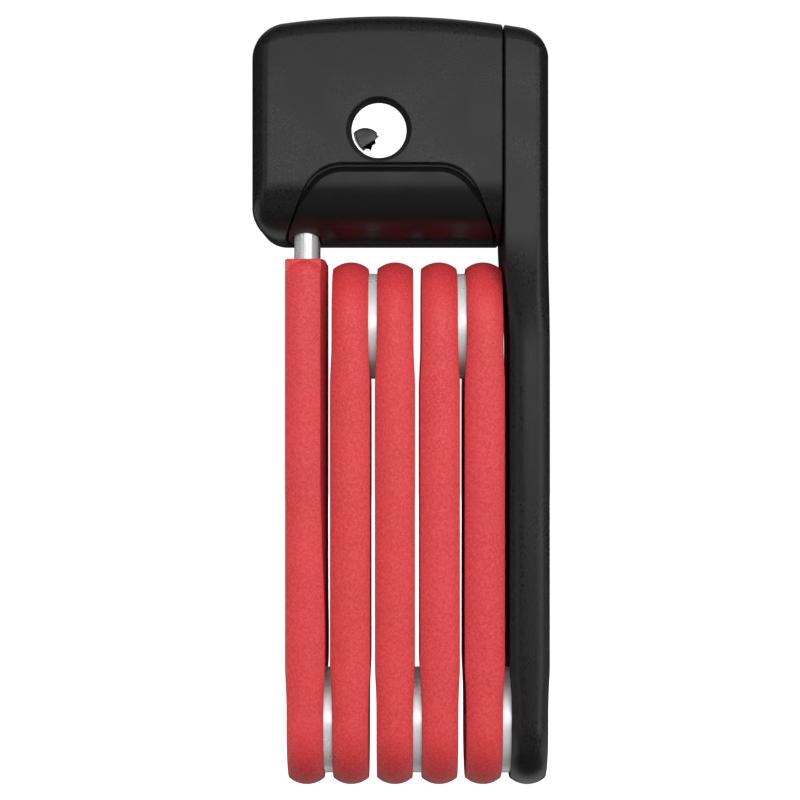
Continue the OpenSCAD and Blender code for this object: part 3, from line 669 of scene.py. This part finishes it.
class Finish:
    """A node-based material under construction: a Principled shader and helpers that feed it."""

    def __init__(self, name, roughness, metallic=0.0, color=(0.8, 0.8, 0.8)):
        self.material = bpy.data.materials.new(name)
        self.material.use_nodes = True
        self.tree = self.material.node_tree
        self.shader = self.tree.nodes["Principled BSDF"]
        self.shader.inputs["Roughness"].default_value = roughness
        self.shader.inputs["Metallic"].default_value = metallic
        self.shader.inputs["Base Color"].default_value = (*color, 1)
        self.place = self.tree.nodes.new("ShaderNodeTexCoord").outputs["Object"]

    def node(self, kind, **values):
        """A new node with its settings (by attribute) set."""
        made = self.tree.nodes.new(kind)
        for key, value in values.items():
            setattr(made, key, value)
        return made

    def link(self, out, into):
        self.tree.links.new(out, into)

    def stretched(self, scale):
        """Object coordinates scaled per axis, for brushed or drawn marks."""
        mapping = self.node("ShaderNodeMapping")
        mapping.inputs["Scale"].default_value = scale
        self.link(self.place, mapping.inputs["Vector"])
        return mapping.outputs["Vector"]

    def noise(self, size_mm, detail=3.0, roughness=0.5, place=None):
        """Noise whose features are about size_mm across."""
        made = self.node("ShaderNodeTexNoise")
        made.inputs["Scale"].default_value = 1000.0 / size_mm
        made.inputs["Detail"].default_value = detail
        made.inputs["Roughness"].default_value = roughness
        self.link(place or self.place, made.inputs["Vector"])
        return made.outputs["Fac"]

    def ramp(self, value, low, high, out_low, out_high):
        """value from low..high mapped to out_low..out_high, clamped."""
        made = self.node("ShaderNodeMapRange")
        sockets = ("From Min", "From Max", "To Min", "To Max")
        for key, number in zip(sockets, (low, high, out_low, out_high)):
            made.inputs[key].default_value = number
        self.link(value, made.inputs["Value"])
        return made.outputs["Result"]

    def mix(self, factor, first, second):
        """Colour between first and second; each is a colour or a socket."""
        made = self.node("ShaderNodeMix", data_type="RGBA")
        self.link(factor, made.inputs[0])
        for index, colour in ((6, first), (7, second)):
            if isinstance(colour, bpy.types.NodeSocket):
                self.link(colour, made.inputs[index])
            else:
                made.inputs[index].default_value = (*colour, 1)
        return made.outputs[2]

    def bump(self, height, distance_mm, strength=1.0, after=None):
        """Bump of a height in 0..1 over distance_mm; after is an earlier bump's normal."""
        made = self.node("ShaderNodeBump")
        made.inputs["Strength"].default_value = strength
        made.inputs["Distance"].default_value = distance_mm * MM
        self.link(height, made.inputs["Height"])
        if after is not None:
            self.link(after, made.inputs["Normal"])
        self.link(made.outputs["Normal"], self.shader.inputs["Normal"])
        return made.outputs["Normal"]

    def colour(self, socket):
        self.link(socket, self.shader.inputs["Base Color"])

    def roughness(self, socket):
        self.link(socket, self.shader.inputs["Roughness"])


def soft_red():
    """Soft-touch red: fine mottled grain, slightly darker and lighter patches, dull sheen."""
    f = Finish("soft_red", 0.5)
    patches = f.ramp(f.noise(14, 2), 0.35, 0.65, 0, 1)
    grain = f.noise(0.5, 3, 0.65)
    base = f.mix(patches, (0.535, 0.029, 0.034), (0.58, 0.035, 0.040))
    f.colour(f.mix(f.ramp(grain, 0.40, 0.66, 0, 0.6), base, (0.69, 0.085, 0.09)))
    f.roughness(f.ramp(grain, 0.3, 0.7, 0.62, 0.42))
    first = f.bump(f.noise(0.34, 3, 0.55), 0.035, 0.6)
    f.bump(f.noise(2.6, 2), 0.05, 0.35, first)
    f.shader.inputs["Specular IOR Level"].default_value = 0.5
    return f.material


def grained_black():
    """Moulded black plastic with a fine spark-eroded grain and worn, slightly smoother patches."""
    f = Finish("grained_black", 0.5)
    grain = f.noise(0.42, 3, 0.6)
    f.colour(f.mix(f.ramp(grain, 0.35, 0.7, 0, 1), (0.005, 0.005, 0.0052), (0.013, 0.013, 0.0133)))
    worn = f.ramp(f.noise(9, 2), 0.35, 0.65, 0, 0.05)
    rough = f.node("ShaderNodeMath", operation="ADD")
    f.link(worn, rough.inputs[0])
    f.link(f.ramp(grain, 0.36, 0.64, 0.25, 0.38), rough.inputs[1])
    f.roughness(rough.outputs["Value"])
    first = f.bump(grain, 0.022, 0.6)
    f.bump(f.noise(1.5, 2), 0.03, 0.3, first)
    f.shader.inputs["Specular IOR Level"].default_value = 0.5
    return f.material


def satin_black():
    """Smoother black of the lower panel, with a faint orange-peel."""
    f = Finish("satin_black", 0.34)
    f.colour(f.mix(f.noise(0.5, 2), (0.005, 0.005, 0.0052), (0.010, 0.010, 0.0104)))
    f.roughness(f.ramp(f.noise(5, 3), 0.35, 0.65, 0.30, 0.38))
    f.bump(f.noise(1.2, 2), 0.012, 0.4)
    f.shader.inputs["Specular IOR Level"].default_value = 0.42
    return f.material


def plated(name, tint, roughness, marks=(0, 0, 0), depth_mm=0.004, metallic=1.0, specular=0.5):
    """Bright plated steel: tint, hazy roughness patches, and fine marks stretched by marks."""
    f = Finish(name, roughness, metallic, tint)
    haze = f.noise(3.0, 3)
    f.roughness(f.ramp(haze, 0.3, 0.7, roughness * 0.75, roughness * 1.3))
    f.colour(f.mix(f.ramp(haze, 0.3, 0.75, 0, 1), tint, tuple(0.9 * c for c in tint)))
    place = f.stretched(marks) if any(marks) else None
    f.bump(f.noise(0.25, 3, 0.6, place), depth_mm, 0.5)
    f.shader.inputs["Specular IOR Level"].default_value = specular
    return f.material


def cast_zinc():
    """Die-cast zinc coloured near-black as painted shade: it shows only in the gap round the key cylinder,
    which it turns dark. Mottled and pitted.
    """
    f = Finish("cast_zinc", 0.5, 0.0, (0.01, 0.01, 0.01))
    f.colour(f.mix(f.noise(4, 4), (0.006, 0.006, 0.0065), (0.016, 0.016, 0.017)))
    f.shader.inputs["Specular IOR Level"].default_value = 0.15
    f.roughness(f.ramp(f.noise(1.2, 3), 0.3, 0.7, 0.38, 0.58))
    f.bump(f.noise(0.5, 4, 0.6), 0.03, 0.5)
    return f.material


def blackened():
    """Oil-blackened steel with brighter rubbed patches."""
    f = Finish("blackened_steel", 0.35, 1.0, (0.10, 0.10, 0.105))
    rubbed = f.ramp(f.noise(0.9, 4, 0.6), 0.5, 0.75, 0, 1)
    f.colour(f.mix(rubbed, (0.075, 0.076, 0.08), (0.22, 0.22, 0.23)))
    f.roughness(f.ramp(rubbed, 0, 1, 0.42, 0.28))
    f.bump(f.noise(0.3, 3), 0.01, 0.4)
    return f.material


def paint(material, *nodes):
    """Puts one material on CAD nodes or pieces."""
    for node in nodes:
        piece = NODES[node] if isinstance(node, str) else node
        piece.data.materials.clear()
        piece.data.materials.append(material)


def place(piece, body, slot, *nodes):
    """Rides and replaces a finished piece in one go."""
    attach(piece, body)
    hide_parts(*nodes)


# ---- Build ---------------------------------------------------------------------------------------

red = soft_red()
black = grained_black()
panel_black = satin_black()
disc_steel = plated("plated_disc", (0.88, 0.93, 0.935), 0.34, (1, 1, 1), 0.003, 0.4)
shutter_steel = plated("satin_shutter", (0.075, 0.077, 0.08), 0.30, (1, 1, 1), 0.004)
# Near-black, non-metal barrel: painted shade for the dark ring round the plug face.
barrel_shade_black = plated("black_oxide", (0.008, 0.008, 0.0085), 0.45, (1, 1, 1), 0.003, 0.0, 0.12)
plate_steel = plated("ground_plate", (0.88, 0.91, 0.915), 0.24, (1, 1, 0.08), 0.004, 0.6)
chrome = plated("polished_nickel", (0.92, 0.93, 0.94), 0.10, (0, 0, 0), 0.0015, 0.5)
core_brass = plated("dull_brass", (0.16, 0.13, 0.085), 0.38, (1, 0.2, 1), 0.005)
spring_wire = plated("drawn_wire", (0.45, 0.46, 0.48), 0.25, (1, 1, 1), 0.003)

for i in LINKS:
    cover = link_cover(i)
    paint(red, cover)
    place(cover, f"link_{i}", "red_cover", f"link_cover_{i}")
    paint(plate_steel, f"link_plate_{i}")
    paint(disc_steel, f"hinge_disc_{i}", f"hinge_rivet_{i}")

front, rear = head_covers()
panel = arch_panel()
arm = arm_cover()
paint(black, front, rear, arm)
paint(panel_black, panel)
place(front, "lock_head", "black_casing", "head_cover")
place(rear, "lock_head", "black_casing", "rear_cover")
place(panel, "lock_head", "black_panel", "arch_panel")
place(arm, "arm", "black_casing", "arm_cover")

paint(plate_steel, "arm_plate", "sidebar", "cam", "latch_bolt")
paint(disc_steel, "swivel_rivet")
paint(shutter_steel, "keyway_shutter")
paint(chrome, "plug_face")
paint(core_brass, "plug_core", "detainer_discs")
# The housing's near-black colour is painted shade in the gap round the key cylinder.
paint(cast_zinc(), "lock_housing")
paint(blackened(), "cover_screws", "drill_guard", "swivel_disc")
# Barrel coloured near-black as painted shade round the plug face.
paint(barrel_shade_black, "cylinder_barrel")
paint(spring_wire, "latch_spring", "retaining_clip")


# ---- Stage ---------------------------------------------------------------------------------------

def backdrop():
    """White floor that curves up into a wall all round the object: one profile turned about Z.

    It glows evenly and neither blocks nor returns light, so that undersides stay dark."""
    radius, flat, height, count = 0.5, 3.5, 4.5, 96
    a = np.linspace(0, np.pi / 2, 24)
    r = np.concatenate([[0, flat / 2], flat + radius * np.sin(a), [flat + radius]])
    z = np.concatenate([[0, 0], radius - radius * np.cos(a), [height]])
    turn = np.linspace(0, 2 * np.pi, count, endpoint=False)
    points = [np.outer(r, np.cos(turn)), np.outer(r, np.sin(turn)), np.outer(z, np.ones(count))]
    sheet = new_piece("backdrop", np.stack(points, -1), grid_faces(len(r), count))
    sheet.data.shade_smooth()
    f = Finish("backdrop_paper", 0.9, 0.0, (0.5, 0.5, 0.5))
    f.shader.inputs["Emission Color"].default_value = (1, 1, 1, 1)
    f.shader.inputs["Emission Strength"].default_value = 1.0
    sheet.data.materials.append(f.material)
    sheet.visible_glossy = False
    sheet.visible_diffuse = False
    sheet.visible_shadow = False


def card(name, radiance, size, place, target, mirrored=True):
    """A rectangular light of even radiance turned towards a target.

    Unmirrored ones light matt surfaces only and don't show in gloss."""
    light = bpy.data.lights.new(name, "AREA")
    light.shape = "RECTANGLE"
    light.size, light.size_y = size
    light.energy = radiance * math.pi * size[0] * size[1]
    lamp = bpy.data.objects.new(name, light)
    lamp.location = place
    lamp.rotation_euler = look_rotation(np.array(target) - np.array(place))
    lamp.visible_glossy = mirrored
    bpy.context.scene.collection.objects.link(lamp)


def look_rotation(direction):
    """Euler angles that turn -Z to a direction with +Z kept upwards."""
    return Vector(direction).to_track_quat("-Z", "Y").to_euler()


def camera():
    """Level camera in front of the lock, at half its height, framed as wide as 179.2 mm."""
    distance, frame_width, height = 0.47, 0.1792, 0.0858
    data = bpy.data.cameras.new("camera")
    data.sensor_width = 36
    data.lens = 36 * distance / frame_width
    data.clip_start = 0.01
    view = bpy.data.objects.new("camera", data)
    view.location = (0, -distance, height)
    view.rotation_euler = (math.pi / 2, 0, 0)
    bpy.context.scene.collection.objects.link(view)
    bpy.context.scene.camera = view


def world():
    """Even grey room light."""
    made = bpy.data.worlds.new("studio")
    made.use_nodes = True
    shade = made.node_tree.nodes["Background"]
    shade.inputs["Color"].default_value = (0.9, 0.93, 0.95, 1)
    shade.inputs["Strength"].default_value = 0.018
    bpy.context.scene.world = made


backdrop()
camera()
world()
middle = (0, 0, 0.09)
card("front_card", 1.8, (0.95, 0.34), (0.14, -1.0, 0.23), (0.14, 0, 0.23))
card("left_strip", 0.9, (0.14, 0.7), (-0.53, -0.62, 0.08), middle)
card("right_strip", 2.6, (0.14, 0.7), (0.57, -0.60, 0.08), middle)
card("upper_front", 0.20, (1.2, 0.7), (0.05, -0.80, 0.95), middle)
card("upper_back", 0.35, (1.4, 0.8), (0, 0.70, 1.05), middle)
card("lower_front", 0.12, (1.2, 0.6), (0.05, -0.80, -0.70), middle)
card("lower_back", 0.60, (1.6, 0.7), (0, 0.65, -0.80), middle)
card("lower_left", 0.80, (1.2, 0.8), (-0.95, 0, -0.50), middle)
card("lower_right", 0.80, (1.2, 0.8), (0.95, 0, -0.50), middle)
card("front_fill", 5.6, (1.0, 1.0), (0.1, -1.2, 0.6), middle, False)
card("back_fill", 4.0, (1.0, 1.0), (0, 1.2, 0.6), middle, False)
card("left_fill", 2.0, (0.8, 0.8), (-1.1, 0, 0.5), middle, False)
card("right_fill", 2.0, (0.8, 0.8), (1.1, 0, 0.5), middle, False)
bpy.context.scene.view_settings.view_transform = "Standard"
